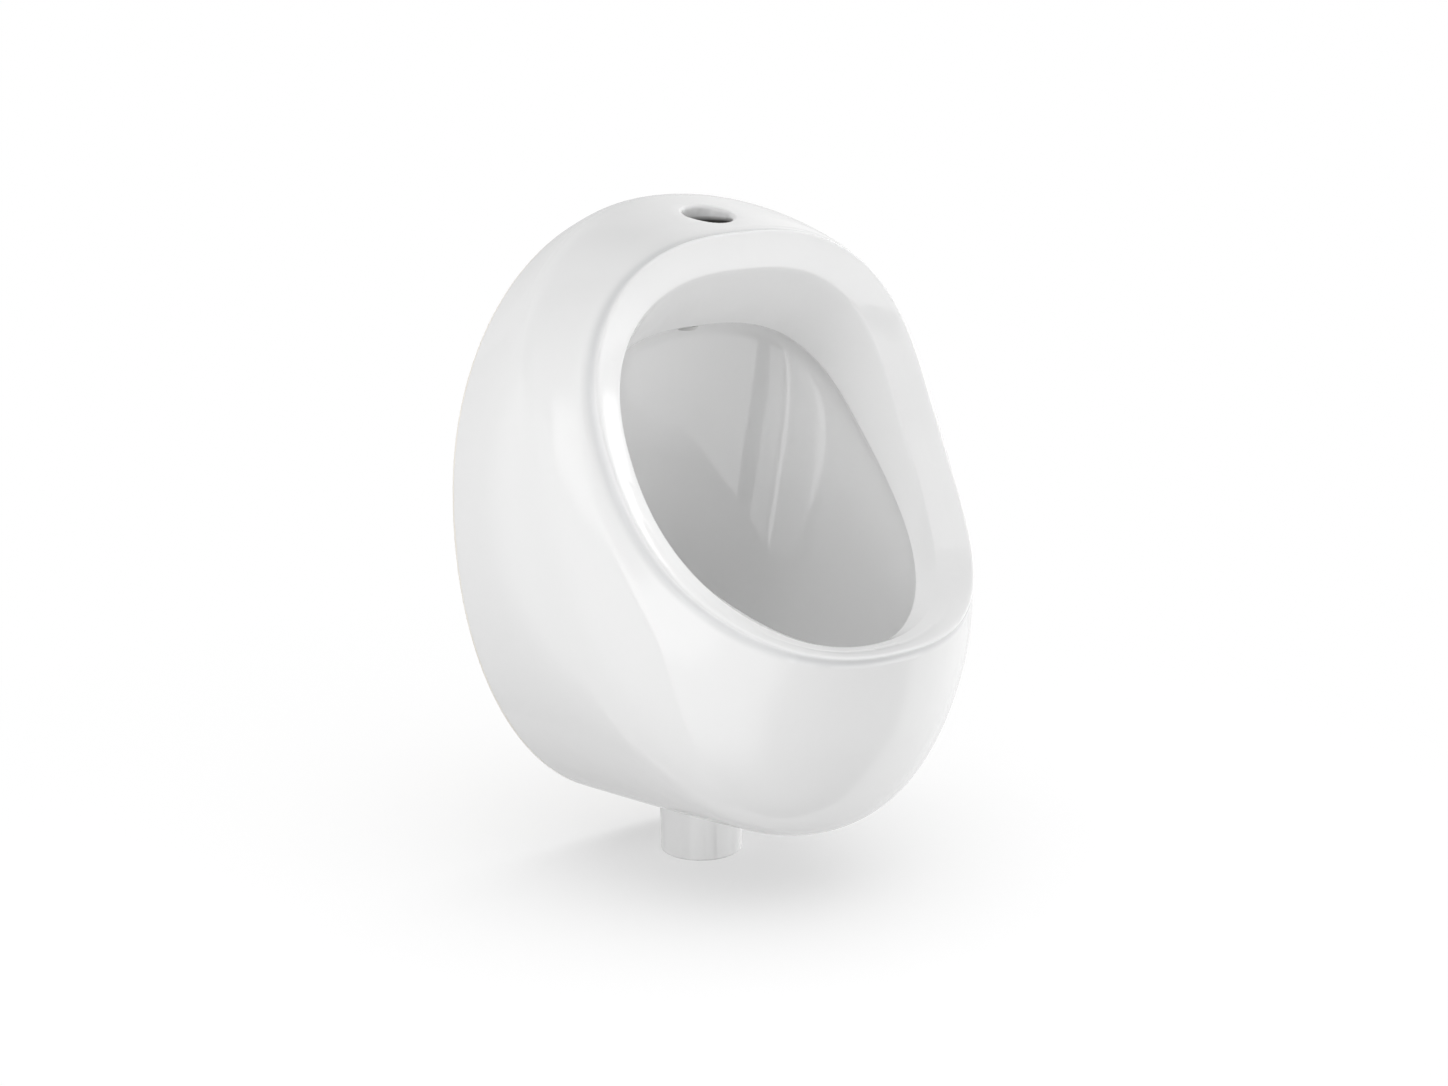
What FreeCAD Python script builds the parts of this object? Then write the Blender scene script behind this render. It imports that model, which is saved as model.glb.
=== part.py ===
"""Small wall hung urinal in white vitreous china, with its hanging and flushing pieces.

Frame: millimetres, +Z up, the user stands on the -Y side.
Origin: on the wall plane (y = 0), on the centre line (x = 0), at the lower edge of the waste
spigot (z = 0). Everything behind y = 0 is inside the wall.
"""

import FreeCAD
import Part

import math
import os

import Sketcher

from FreeCAD import Vector

# ---------------------------------------------------------------- driving dimensions
# The china is drawn through rings. A ring is a rounded oval in a tilted plane:
#   y, z        its centre, out from the wall and up from the spigot's edge
#   tilt        how far the plane leans back, in degrees
#   half        half its width
#   up, down    how far it reaches above and below its centre
#   top, foot   squareness of its upper and lower half (2 is an ellipse)
#   bow, sway   how far its plane bows forward at 150 mm from the centre: both ends, and the
#               upper end alone (a minus sign bows the lower end)
RING_FIELDS = ("y", "z", "tilt", "half", "up", "down", "top", "foot", "bow", "sway")

RINGS = {
    "wall":    (0.0, 239.0, 0.0, 143.5, 175.5, 215.0, 2.08, 2.07, 0.0, 0.0),
    "back":    (-54.5, 247.5, 8.6, 152.0, 178.5, 218.0, 2.16, 2.09, 5.5, -8.5),
    "cheek":   (-91.0, 255.0, 13.8, 153.5, 177.5, 224.5, 2.36, 2.11, 1.5, -11.0),
    "brow":    (-128.5, 265.5, 23.5, 153.5, 172.5, 233.0, 2.48, 2.19, -4.0, -3.5),
    "ridge":   (-142.0, 292.5, 25.8, 126.5, 118.5, 152.5, 2.55, 2.44, 40.0, -9.5),
    "crease":  (-134.5, 285.0, 26.4, 105.0, 101.0, 140.0, 2.67, 2.28, 44.5, -3.0),
    "lip":     (-109.5, 268.5, 42.4, 97.0, 86.5, 148.0, 2.75, 2.00, 38.5, 17.5),
    "eaves":   (-98.0, 271.0, 45.0, 116.0, 118.0, 168.0, 2.60, 2.00, 31.5, 20.0),
    "bowl":    (-97.0, 240.0, 50.0, 108.0, 86.0, 160.0, 2.30, 2.00, 12.0, 6.0),
    "basin":   (-88.0, 150.0, 68.0, 90.0, 56.0, 116.0, 2.10, 2.00, 0.0, 0.0),
    "sump":    (-68.0, 84.0, 84.0, 52.0, 32.0, 64.0, 2.00, 2.00, 0.0, 0.0),
    "drain":   (-64.5, 67.0, 90.0, 30.0, 30.0, 30.0, 2.00, 2.00, 0.0, 0.0),
    "fold":    (-128.0, 255.0, 24.6, 138.0, 163.0, 168.0, 2.30, 2.10, 14.0, 0.0),
    "behind":  (-96.0, 230.0, 27.0, 124.0, 166.0, 160.0, 2.30, 2.10, 20.0, 0.0),
    "rear":    (-74.0, 200.0, 28.0, 120.0, 140.0, 140.0, 2.20, 2.00, 26.0, 0.0),
    "cellar":  (-79.0, 124.0, 43.0, 95.0, 76.0, 76.0, 2.10, 2.00, 0.0, 0.0),
    "under":   (-66.0, 68.0, 80.0, 54.0, 39.0, 52.0, 2.00, 2.00, 0.0, 0.0),
}

SIZES = {
    # china
    "china": 10.0,             # thickness of the outer wall
    "bowl_china": 9.0,         # thickness of the bowl
    "land": 26.0,              # width of the flat land that meets the wall
    "land_depth": 12.0,        # thickness of that land
    "valley_lean": 9.0,        # how far the wall flares into the rim, in degrees
    "valley_reach": 14.0,      # how far below the ridge the flare begins
    "ridge_roll": 5.5,         # run of the rim's outer rounding, each side of the ridge
    "crease_roll": 5.5,        # run of the rounding into the throat
    "lip_roll": 3.0,           # run of the rounding at the lip
    # waste
    "waste_y": -64.5,
    "spigot_radius": 26.5,
    "spigot_bore": 21.5,
    "spigot_edge": 1.5,
    "spigot_fillet": 3.0,
    "spigot_straight": 20.0,   # height of its plain part; above that it is drafted to its root
    "spigot_root": 27.6,       # its radius inside the body, where the draft ends
    "neck_radius": 37.0,
    "seat_radius": 26.6,
    "seat_top": 67.0,
    "seat_depth": 4.5,
    # flush inlet
    "inlet_y": -72.0,
    "inlet_radius": 15.5,
    "inlet_edge": 2.5,
    "duct_top": 398.0,
    "duct_china": 7.0,
    "nozzle_y": -51.0,
    "nozzle_radius": 7.0,
    "nozzle_top": 372.0,
    "nozzle_bottom": 350.0,
    "recess_radius": 9.0,
    "recess_bottom": 340.0,
    # hanging
    "hook_x": 50.0,
    "hook_half": 12.0,
    "hook_gap": 2.0,
    "hook_seat": 372.0,
    "steel": 3.0,
    "hook_arm": 17.5,
    "hook_tip": 11.0,
    "hook_plate": 66.0,
    "saddle": 2.0,
    "screw_low": 322.0,
    "screw_high": 350.0,
    "screw_radius": 3.0,
    "screw_hole": 3.5,
    "screw_length": 50.0,
    "screw_head": 5.0,
    "screw_head_height": 4.0,
    "washer_radius": 8.0,
    "washer_thick": 1.6,
    "plug_radius": 5.0,
    "plug_length": 48.0,
    # strainer
    "grid_steel": 1.2,
    "grid_radius": 26.0,
    "grid_land": 20.0,
    "grid_rise": 9.0,
    "lift": 3.0,
    "slot_inner": 8.0,
    "slot_outer": 17.0,
    "slot_width": 3.5,
    "leg_reach": 18.0,
    "leg_radius": 20.3,
    "leg_width": 7.0,
    # spreader
    "stem_radius": 4.5,
    "stem_bore": 3.0,
    "stem_top": 369.0,
    "rose_radius": 7.5,
    "rose_top": 352.5,
    "rose_height": 12.0,
    "rose_slot": 2.2,
    "sleeve_gap": 0.1,
}

POINTS_ROUND = 32      # points that each ring is drawn with


# ---------------------------------------------------------------- the document and its sheet
doc = FreeCAD.newDocument("wall_hung_urinal")
sheet = doc.addObject("Spreadsheet::Sheet", "Sizes")


def fill_sheet():
    """Write every driving dimension into the sheet, one named cell to a row."""
    cells = dict(SIZES)
    for ring_name, values in RINGS.items():
        for field, value in zip(RING_FIELDS, values):
            cells[f"{ring_name}_{field}"] = value
    for row, (alias, value) in enumerate(cells.items(), start=1):
        sheet.set(f"A{row}", alias)
        sheet.set(f"B{row}", f"{value:g}")
        sheet.setAlias(f"B{row}", alias)
    doc.recompute()


fill_sheet()


class Size:
    """A length that knows its number and the sheet expression that gives it."""

    def __init__(self, value, text):
        self.value = value
        self.text = text

    def joined(self, other, sign):
        """This size and another one, or a plain number, joined by a sign."""
        if not isinstance(other, Size):
            other = Size(other, f"{other:g}")
        values = {"+": self.value + other.value, "-": self.value - other.value,
                  "*": self.value * other.value}
        return Size(values[sign], f"({self.text} {sign} {other.text})")

    def __add__(self, other):
        return self.joined(other, "+")

    def __sub__(self, other):
        return self.joined(other, "-")

    def __mul__(self, other):
        return self.joined(other, "*")

    def __neg__(self):
        return Size(-self.value, f"(-1 * {self.text})")


def size(alias):
    """A cell of the sheet, as a Size."""
    return Size(float(sheet.get(alias)), f"Sizes.{alias}")


def number(alias):
    """A cell of the sheet, as a plain number."""
    return float(sheet.get(alias))


# ---------------------------------------------------------------- rings and skins of the china
def ring(name, grow=0.0, sink=0.0):
    """Points round a ring, grown outward and sunk backward by the given amounts."""
    shape = {field: number(f"{name}_{field}") for field in RING_FIELDS}
    tilt = math.radians(shape["tilt"])
    back, rise = math.cos(tilt), math.sin(tilt)
    points = []
    for step in range(POINTS_ROUND):
        angle = math.pi / 2 + 2 * math.pi * step / POINTS_ROUND
        across, along = math.cos(angle), math.sin(angle)
        upper = along >= 0
        reach = (shape["up"] if upper else shape["down"]) + grow
        power = shape["top"] if upper else shape["foot"]
        width = shape["half"] + grow
        radius = (abs(across / width) ** power + abs(along / reach) ** power) ** (-1 / power)
        v = radius * along
        bow = shape["bow"] * (v / 150) ** 2 + shape["sway"] * (v / 150) ** 3 - sink
        points.append(Vector(radius * across,
                             shape["y"] + v * rise - bow * back,
                             shape["z"] + v * back + bow * rise))
    return points


def mix(first, second, share):
    """The ring a given share of the way from the first ring to the second."""
    return [a + (b - a) * share for a, b in zip(first, second)]


def step(start, towards, run):
    """The ring a fixed run away from the start, point by point towards another ring."""
    return [a + (b - a).normalize() * run for a, b in zip(start, towards)]


def split(rows, share):
    """The first part of a four-row Bezier strip, cut at the given share."""
    found = [rows[0]]
    while len(rows) > 1:
        rows = [mix(a, b, share) for a, b in zip(rows, rows[1:])]
        found.append(rows[0])
    return found


def strip(rows):
    """A smooth closed strip of surface: a Bezier across its rows, periodic round the ring."""
    poles = []
    for row in rows:
        count = len(row)
        # a cubic spline's poles stand out from its points by a sixth of their second difference
        poles.append([row[i] - (row[i - 1] - row[i] * 2 + row[(i + 1) % count]) * (1 / 6)
                      for i in range(count)])
    surface = Part.BSplineSurface()
    degree = len(rows) - 1
    around = len(rows[0])
    surface.buildFromPolesMultsKnots(
        poles, [degree + 1, degree + 1], [1] * (around + 1),
        [0.0, 1.0], [float(i) for i in range(around + 1)],
        False, True, degree, 3)
    return surface


def closed_solid(strips):
    """The solid inside a chain of strips whose two ends are flat rings."""
    surfaces = [strip(rows) for rows in strips]
    faces = [surface.toShape() for surface in surfaces]
    for surface, end in ((surfaces[0], 0.0), (surfaces[-1], 1.0)):
        edge = surface.uIso(end).toShape()
        faces.append(Part.Face(Part.Wire([edge])))
    shell = Part.makeCompound(faces)
    shell.sewShape(0.01)
    solid = Part.Solid(Part.Shell(shell.Faces))
    if solid.Volume < 0:
        solid.reverse()
    return solid


def side_wall(grow):
    """The egg's side from the wall to just short of the rim, as three chained strips."""
    wall, back, cheek, brow, ridge = (ring(name, grow) for name in
                                      ("wall", "back", "cheek", "brow", "ridge"))
    shoulder = mix(back, cheek, 0.5)
    flank = mix(cheek, brow, 0.5)
    middle = mix(shoulder, flank, 0.5)
    return [wall, back, shoulder, middle], [middle, flank, brow, ridge]


def rim_flare(ridge, brow):
    """Directions from the ridge down the outside, leaning in by the valley's angle."""
    lean = math.tan(math.radians(number("valley_lean")))
    centre = Vector(0, number("ridge_y"), number("ridge_z"))
    lines = []
    for point, below in zip(ridge, brow):
        down = (below - point).normalize()
        inward = centre - point
        inward = (inward - down * inward.dot(down)).normalize()
        lines.append((down + inward * lean).normalize())
    return lines


def along(start, lines, run):
    """The ring a fixed run away from the start along its own line at each point."""
    return [point + line * run for point, line in zip(start, lines)]


def china_skin():
    """Outside, rim, throat, lip and bowl: everything that is glazed."""
    lower, upper = side_wall(0.0)
    upper = split(upper, 0.78)
    ridge, crease, lip = ring("ridge"), ring("crease"), ring("lip")
    eaves, bowl, basin = ring("eaves"), ring("bowl"), ring("basin")
    sump, drain = ring("sump"), ring("drain")
    lines = rim_flare(ridge, ring("brow"))
    roll = number("ridge_roll")
    valley_foot = along(ridge, lines, number("valley_reach"))
    ridge_out = along(ridge, lines, roll)
    ridge_in = step(ridge, crease, roll)
    crease_out = step(crease, ridge, number("crease_roll"))
    crease_in = step(crease, lip, number("crease_roll") * 0.9)
    lip_out = step(lip, crease, number("lip_roll"))
    lip_in = step(lip, eaves, number("lip_roll"))
    meet = step(upper[-1], upper[-2], -14.0)
    hall = mix(bowl, basin, 0.5)
    return [
        lower,
        upper,
        [upper[-1], meet, valley_foot, ridge_out],
        [ridge_out, ridge, ridge_in],
        [ridge_in, crease_out],
        [crease_out, crease, crease_in],
        [crease_in, lip_out],
        [lip_out, lip, lip_in],
        [lip_in, eaves, bowl, hall],
        [hall, basin, sump, drain],
    ]


def hollow_skin():
    """The hollow inside the china: along the outer wall, round behind the rim, over the bowl."""
    lower, upper = side_wall(-number("china"))
    mouth = [Vector(point.x, -number("land_depth"), point.z) for point in lower[0]]
    middle, flank = upper[:2]
    fold, behind, rear, cellar = (ring(name) for name in ("fold", "behind", "rear", "cellar"))
    under = ring("under")
    drain = ring("drain", 4.0, number("bowl_china") + 3.0)
    before, after = mix(flank, fold, 0.6), mix(fold, behind, 0.5)
    vault, hall = mix(behind, rear, 0.5), mix(rear, cellar, 0.5)
    return [
        [mouth] + lower[1:],
        [middle, flank, before],
        [before, fold, after],
        [after, behind, vault],
        [vault, rear, hall],
        [hall, cellar, under, drain],
    ]


def feature(name, shape):
    """Put a shape worked out from the sheet into the document as an object of its own."""
    made = doc.addObject("Part::Feature", name)
    made.Shape = shape
    return made


def bind(made, **settings):
    """Tie an object's properties to the sheet; a dot in a path is written as two underscores."""
    for path, amount in settings.items():
        path = path.replace("__", ".")
        made.setExpression(path, amount.text if isinstance(amount, Size) else f"{amount:g}")
    return made


def cylinder(name, radius, low, high, y, x=0.0):
    """An upright cylinder between two heights."""
    made = doc.addObject("Part::Cylinder", name)
    return bind(made, Radius=radius, Height=high - low, Placement__Base__x=x,
                Placement__Base__y=y, Placement__Base__z=low)


def block(name, x, y, z, wide, deep, tall):
    """A box from its lowest corner."""
    made = doc.addObject("Part::Box", name)
    return bind(made, Length=wide, Width=deep, Height=tall, Placement__Base__x=x,
                Placement__Base__y=y, Placement__Base__z=z)


def tube_cone(name, wide, narrow, top, foot):
    """A leaning cone, wide at the top point and narrow at the foot point."""
    made = doc.addObject("Part::Cone", name)
    axis = foot - top
    bind(made, Radius1=wide, Radius2=narrow)
    made.Height = axis.Length
    made.Placement = FreeCAD.Placement(top, FreeCAD.Rotation(Vector(0, 0, 1), axis))
    return made


def joined(kind, name, pieces):
    """Several document objects taken together: fused, their common part, or as a group."""
    made = doc.addObject(kind, name)
    setattr(made, "Links" if kind == "Part::Compound" else "Shapes", pieces)
    return made


def cut(name, base, tool):
    """One document object less another."""
    made = doc.addObject("Part::Cut", name)
    made.Base = base
    made.Tool = tool
    return made


def rounded(name, base, radius, chosen):
    """Round the edges of a document object that the test picks out."""
    doc.recompute()
    made = doc.addObject("Part::Fillet", name)
    made.Base = base
    numbers = [i for i, edge in enumerate(base.Shape.Edges, start=1) if chosen(edge)]
    made.Edges = [(i, radius.value, radius.value) for i in numbers]
    doc.recompute()
    return made


def rings_bore(edge, radius, y, low, high, slack=0.05):
    """True for an edge that runs round the upright axis at y, at that radius and height."""
    points = edge.discretize(9)
    round_it = all(abs(math.hypot(p.x, p.y - y) - radius) < slack for p in points)
    level = edge.BoundBox.ZLength < 0.6 * edge.Length
    return round_it and level and all(low < p.z < high for p in points)


def build_china():
    """The whole vitreous china body, from its glazed skin, its hollow and its bored ways."""
    glazed = feature("glazed_skin", closed_solid(china_skin()))
    hollow = feature("hollow_skin", closed_solid(hollow_skin()))

    # china that crosses the hollow: the neck over the spigot and the flush duct's walls
    waste_y = size("waste_y")
    neck = cylinder("neck", size("neck_radius"), Size(0, "0"), size("seat_top"), waste_y)
    duct_top = Vector(0, number("inlet_y"), number("duct_top"))
    duct_foot = Vector(0, number("nozzle_y"), number("nozzle_top"))
    duct_wall = tube_cone("duct_wall", size("inlet_radius") + size("duct_china"),
                          size("nozzle_radius") + size("duct_china"), duct_top, duct_foot)
    inlet_wall = cylinder("inlet_wall", size("inlet_radius") + size("duct_china"),
                          size("duct_top") - 4, size("duct_top") + 40, size("inlet_y"))
    nozzle_wall = cylinder("nozzle_wall", size("nozzle_radius") + size("duct_china"),
                           size("nozzle_bottom"), size("nozzle_top") + 4, size("nozzle_y"))
    ways = joined("Part::MultiFuse", "walls_across", [neck, duct_wall, inlet_wall, nozzle_wall])
    crossing = joined("Part::MultiCommon", "china_across", [hollow, ways])
    shell = cut("shell", glazed, hollow)

    # the spigot, its root rounded into the body
    plain = cylinder("plain_spigot", size("spigot_radius"), Size(0, "0"),
                     size("spigot_straight") + 1, waste_y)
    root_height = size("seat_top") - 20
    drafted = doc.addObject("Part::Cone", "drafted_spigot")
    bind(drafted, Radius1=size("spigot_radius"), Radius2=size("spigot_root"),
         Height=root_height - size("spigot_straight"), Placement__Base__y=waste_y,
         Placement__Base__z=size("spigot_straight"))
    body = joined("Part::MultiFuse", "body_and_spigot", [shell, crossing, plain, drafted])
    body = rounded("spigot_root", body, size("spigot_fillet"), lambda edge: rings_bore(
        edge, number("spigot_radius") + 0.6, number("waste_y"), 21, 40, 0.6))
    body = rounded("spigot_rim", body, size("spigot_edge"), lambda edge: rings_bore(
        edge, number("spigot_radius"), number("waste_y"), -0.1, 0.1))

    # the bored ways: seat and waste, inlet, duct and nozzle hole
    seat = cylinder("seat", size("seat_radius"), size("seat_top") - size("seat_depth"),
                    size("seat_top") + 3, waste_y)
    waste = cylinder("waste", size("spigot_bore"), Size(-2, "-2"), size("seat_top"), waste_y)
    inlet = cylinder("inlet", size("inlet_radius"), size("duct_top"), size("duct_top") + 40,
                     size("inlet_y"))
    duct = tube_cone("duct", size("inlet_radius"), size("nozzle_radius"), duct_top, duct_foot)
    nozzle = cylinder("nozzle", size("nozzle_radius"), size("nozzle_bottom"),
                      size("nozzle_top"), size("nozzle_y"))
    recess = cylinder("recess", size("recess_radius"), size("recess_bottom"),
                      size("rose_top") + 1.5, size("nozzle_y"))
    bored = joined("Part::MultiFuse", "bored_ways", [seat, waste, inlet, duct, nozzle, recess])
    body = cut("bored", body, bored)
    body = rounded("inlet_edge", body, size("inlet_edge"), lambda edge: rings_bore(
        edge, number("inlet_radius"), number("inlet_y"), 406, 430))

    # the open back inside its land, and the two notches that sit on the hooks
    land = ring("wall", -number("land"))
    depth = number("land_depth")
    opening = feature("back_opening", closed_solid([[
        [Vector(p.x, 1, p.z) for p in land], [Vector(p.x, -depth - 2, p.z) for p in land]]]))
    notch_half = size("hook_half") + size("hook_gap")
    notches = [block(f"notch_{side}", size("hook_x") * sign - notch_half, -size("land_depth") - 2,
                     size("hook_seat") - 60, notch_half * 2, size("land_depth") + 3,
                     Size(60, "60")) for side, sign in (("left", -1), ("right", 1))]
    openings = joined("Part::MultiFuse", "back_openings", [opening] + notches)
    body = cut("china_body", body, openings)
    return body


# ---------------------------------------------------------------- the fitted pieces
def body_at(name, x=0.0, y=0.0, z=0.0):
    """An empty body whose own origin stands at x, y, z of the object."""
    made = doc.addObject("PartDesign::Body", name)
    return bind(made, Placement__Base__x=x, Placement__Base__y=y, Placement__Base__z=z)


def plane(body, role):
    """One of a body's own origin planes, by its role."""
    return next(item for item in body.Origin.OriginFeatures if item.Role == role)


def outline(body, name, role, corners, lift=0.0):
    """A closed sketch of straight lines whose corners are tied to the sheet."""
    sketch = body.newObject("Sketcher::SketchObject", name)
    sketch.AttachmentSupport = [(plane(body, role), "")]
    sketch.MapMode = "FlatFace"
    if isinstance(lift, Size):
        bind(sketch, AttachmentOffset__Base__z=lift)
    places = [Vector(float_of(u), float_of(v), 0) for u, v in corners]
    for place, following in zip(places, places[1:] + places[:1]):
        sketch.addGeometry(Part.LineSegment(place, following), False)
    count = len(corners)
    for line in range(count):
        sketch.addConstraint(Sketcher.Constraint("Coincident", line, 2, (line + 1) % count, 1))
    for line, corner in enumerate(corners):
        for kind, axis, amount in zip(("DistanceX", "DistanceY"), (-2, -1), corner):
            tie(sketch, kind, axis, line, amount)
    return sketch


def float_of(amount):
    """The number in a Size, or the number itself."""
    return amount.value if isinstance(amount, Size) else float(amount)


def tie(sketch, kind, axis, line, amount):
    """Hold the first point of a line at an amount along one axis of its sketch."""
    if float_of(amount) == 0.0:
        sketch.addConstraint(Sketcher.Constraint("PointOnObject", line, 1, axis))
        return
    index = sketch.addConstraint(
        Sketcher.Constraint(kind, -1, 1, line, 1, float_of(amount)))
    if isinstance(amount, Size):
        sketch.setExpression(f"Constraints[{index}]", amount.text)


def ring_sketch(body, name, role, radius, centre=(0.0, 0.0)):
    """A sketch of one circle."""
    sketch = body.newObject("Sketcher::SketchObject", name)
    sketch.AttachmentSupport = [(plane(body, role), "")]
    sketch.MapMode = "FlatFace"
    place = Vector(float_of(centre[0]), float_of(centre[1]), 0)
    sketch.addGeometry(Part.Circle(place, Vector(0, 0, 1), radius.value), False)
    index = sketch.addConstraint(Sketcher.Constraint("Radius", 0, radius.value))
    sketch.setExpression(f"Constraints[{index}]", radius.text)
    for kind, axis, amount in zip(("DistanceX", "DistanceY"), (-2, -1), centre):
        if float_of(amount) == 0.0:
            sketch.addConstraint(Sketcher.Constraint("PointOnObject", 0, 3, axis))
            continue
        index = sketch.addConstraint(
            Sketcher.Constraint(kind, -1, 1, 0, 3, float_of(amount)))
        if isinstance(amount, Size):
            sketch.setExpression(f"Constraints[{index}]", amount.text)
    return sketch


def pad(body, name, sketch, length, both_ways=False, backward=False):
    """Material raised from a sketch."""
    made = body.newObject("PartDesign::Pad", name)
    made.Profile = sketch
    made.setExpression("Length", length.text)
    made.Midplane = both_ways
    made.Reversed = backward
    return made


def pocket(body, name, sketch, length, both_ways=False, backward=False):
    """Material cut away through a sketch; the volume before and after proves its direction."""
    doc.recompute()
    before = body.Shape.Volume
    made = body.newObject("PartDesign::Pocket", name)
    made.Profile = sketch
    made.setExpression("Length", length.text)
    made.Midplane = both_ways
    made.Reversed = backward
    doc.recompute()
    if body.Shape.Volume > before - 0.5:
        raise RuntimeError(f"{name} cuts nothing")
    return made


def turned(body, name, sketch):
    """A full turn of a sketch about the body's own upright axis."""
    made = body.newObject("PartDesign::Revolution", name)
    made.Profile = sketch
    made.ReferenceAxis = (sketch, ["V_Axis"])
    made.Angle = 360
    return made


def repeated(body, name, feature_made, count):
    """Equal copies of a feature round the body's upright axis."""
    made = body.newObject("PartDesign::PolarPattern", name)
    made.Originals = [feature_made]
    axis = next(item for item in body.Origin.OriginFeatures if item.Role == "Z_Axis")
    made.Axis = (axis, [""])
    made.Angle = 360
    made.Occurrences = count
    body.Tip = made
    return made


def build_strainer():
    """Pressed steel waste grid: a seat ring, a low dome with slots, three legs in the bore."""
    body = body_at("waste_strainer", 0.0, size("waste_y"), size("seat_top") - size("seat_depth"))
    steel, rim = size("grid_steel"), size("grid_radius")
    land, rise = size("grid_land"), size("grid_rise")
    crown = land * 0.45
    profile = outline(body, "dome_profile", "XZ_Plane", [
        (0, rise), (crown, rise), (land, size("lift")), (land + 1, 0), (rim, 0),
        (rim, steel), (land + 2, steel), (land + 1, size("lift") + steel),
        (crown + 1, rise + steel), (0, rise + steel)])
    turned(body, "dome", profile)
    slot = outline(body, "slot_outline", "XY_Plane", [
        (size("slot_inner"), -size("slot_width") * 0.5), (size("slot_outer"),
                                                          -size("slot_width") * 0.5),
        (size("slot_outer"), size("slot_width") * 0.5),
        (size("slot_inner"), size("slot_width") * 0.5)])
    first_slot = pocket(body, "slot", slot, rise + steel + 4, backward=True)
    repeated(body, "slots", first_slot, 8)
    reach = size("leg_radius")
    leg = outline(body, "leg_outline", "XZ_Plane", [
        (reach, size("lift") * 0.9), (reach, -size("leg_reach")),
        (reach - steel, -size("leg_reach")), (reach - steel, size("lift") + 0.9)])
    first_leg = pad(body, "leg", leg, size("leg_width"), both_ways=True)
    repeated(body, "legs", first_leg, 3)
    return body


def build_spreader():
    """Moulded flush spreader: a stem up the nozzle hole and a rose with side slots below."""
    body = body_at("flush_spreader", 0.0, size("nozzle_y"), size("rose_top"))
    stem, bore, rose = size("stem_radius"), size("stem_bore"), size("rose_radius")
    height, top = size("rose_height"), size("stem_top") - size("rose_top")
    profile = outline(body, "spreader_profile", "XZ_Plane", [
        (bore, top), (stem, top), (stem, 0), (rose, 0), (rose, -height + 2),
        (rose - 2, -height), (0, -height), (0, -height + 2), (bore, -height + 2.5)])
    turned(body, "spreader_turned", profile)
    slot = outline(body, "fan_outline", "XZ_Plane", [
        (-size("rose_slot") * 0.5, -height + 2.6), (size("rose_slot") * 0.5, -height + 2.6),
        (size("rose_slot") * 0.5, -4), (-size("rose_slot") * 0.5, -4)])
    first = pocket(body, "fan", slot, rose + 2)
    repeated(body, "fans", first, 6)
    return body


def build_sleeve():
    """Soft rubber sleeve that holds the spreader's stem in the nozzle hole."""
    body = body_at("spreader_seal", 0.0, size("nozzle_y"), size("rose_top"))
    gap = size("sleeve_gap")
    top = size("stem_top") - size("rose_top") - 1
    profile = outline(body, "sleeve_profile", "XZ_Plane", [
        (size("stem_radius") + gap, gap), (size("nozzle_radius") + 1, gap),
        (size("nozzle_radius") + 1, 1.4), (size("nozzle_radius") - gap, 1.4),
        (size("nozzle_radius") - gap, top), (size("stem_radius") + gap, top)])
    turned(body, "sleeve", profile)
    return body


def build_bracket(name, x):
    """Pressed steel hanger: a plate on the wall, an arm through the notch, an upturned tip."""
    body = body_at(name, x, 0.0, size("hook_seat") - size("saddle"))
    steel, arm, tip = size("steel"), size("hook_arm"), size("hook_tip")
    profile = outline(body, "hook_profile", "YZ_Plane", [
        (0, 0), (-arm, 0), (-arm, tip), (-arm - steel, tip), (-arm - steel, -steel),
        (-steel, -steel), (-steel, -size("hook_plate")), (0, -size("hook_plate"))])
    pad(body, "hook", profile, size("hook_half") * 2, both_ways=True)
    for label, height in (("low", size("screw_low")), ("high", size("screw_high"))):
        hole = ring_sketch(body, f"{label}_hole", "XZ_Plane", size("screw_hole"),
                           (0.0, height - size("hook_seat") + size("saddle")))
        pocket(body, f"{label}_bored", hole, steel * 4, both_ways=True)
    return body


def build_saddle(name, x):
    """Soft pad folded over the hook's arm and tip, on which the china hangs."""
    body = body_at(name, x, 0.0, size("hook_seat"))
    arm, tip, thick = size("hook_arm"), size("hook_tip"), size("saddle")
    profile = outline(body, "saddle_profile", "YZ_Plane", [
        (-1, 0), (-size("land_depth") - 0.5, 0), (-size("land_depth") - 0.5, tip - thick),
        (-arm, tip - thick), (-arm, -thick), (-1, -thick)])
    pad(body, "saddle_pad", profile, size("hook_half") * 2, both_ways=True)
    return body


def build_fasteners(name, turned_profile):
    """One group of four equal turned pieces, one at each wall screw, lying along Y."""
    doc.recompute()
    pieces = []
    for side in (-1, 1):
        for height in ("screw_low", "screw_high"):
            tag = f"{name}_{'left' if side < 0 else 'right'}_{height[6:]}"
            body = body_at(tag, size("hook_x") * side, 0.0, size(height))
            profile = outline(body, tag + "_profile", "XY_Plane", turned_profile)
            made = body.newObject("PartDesign::Revolution", tag + "_turned")
            made.Profile = profile
            made.ReferenceAxis = (profile, ["V_Axis"])
            made.Angle = 360
            pieces.append(body)
    return joined("Part::Compound", name, pieces)


def screw_profile():
    """Half outline of a wall screw: head, shank and point, along +Y into the wall."""
    under = -(size("steel") + size("washer_thick"))
    shank, head = size("screw_radius"), size("screw_head")
    far = under + size("screw_length")
    return [(0, under - size("screw_head_height")),
            (head - 1, under - size("screw_head_height")), (head, under - 1), (head, under),
            (shank, under), (shank, far - 4), (0, far)]


def washer_profile():
    """Half outline of a washer against the bracket plate."""
    plate = -size("steel")
    return [(size("screw_radius") + 0.3, plate - size("washer_thick")),
            (size("washer_radius"), plate - size("washer_thick")),
            (size("washer_radius"), plate), (size("screw_radius") + 0.3, plate)]


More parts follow.
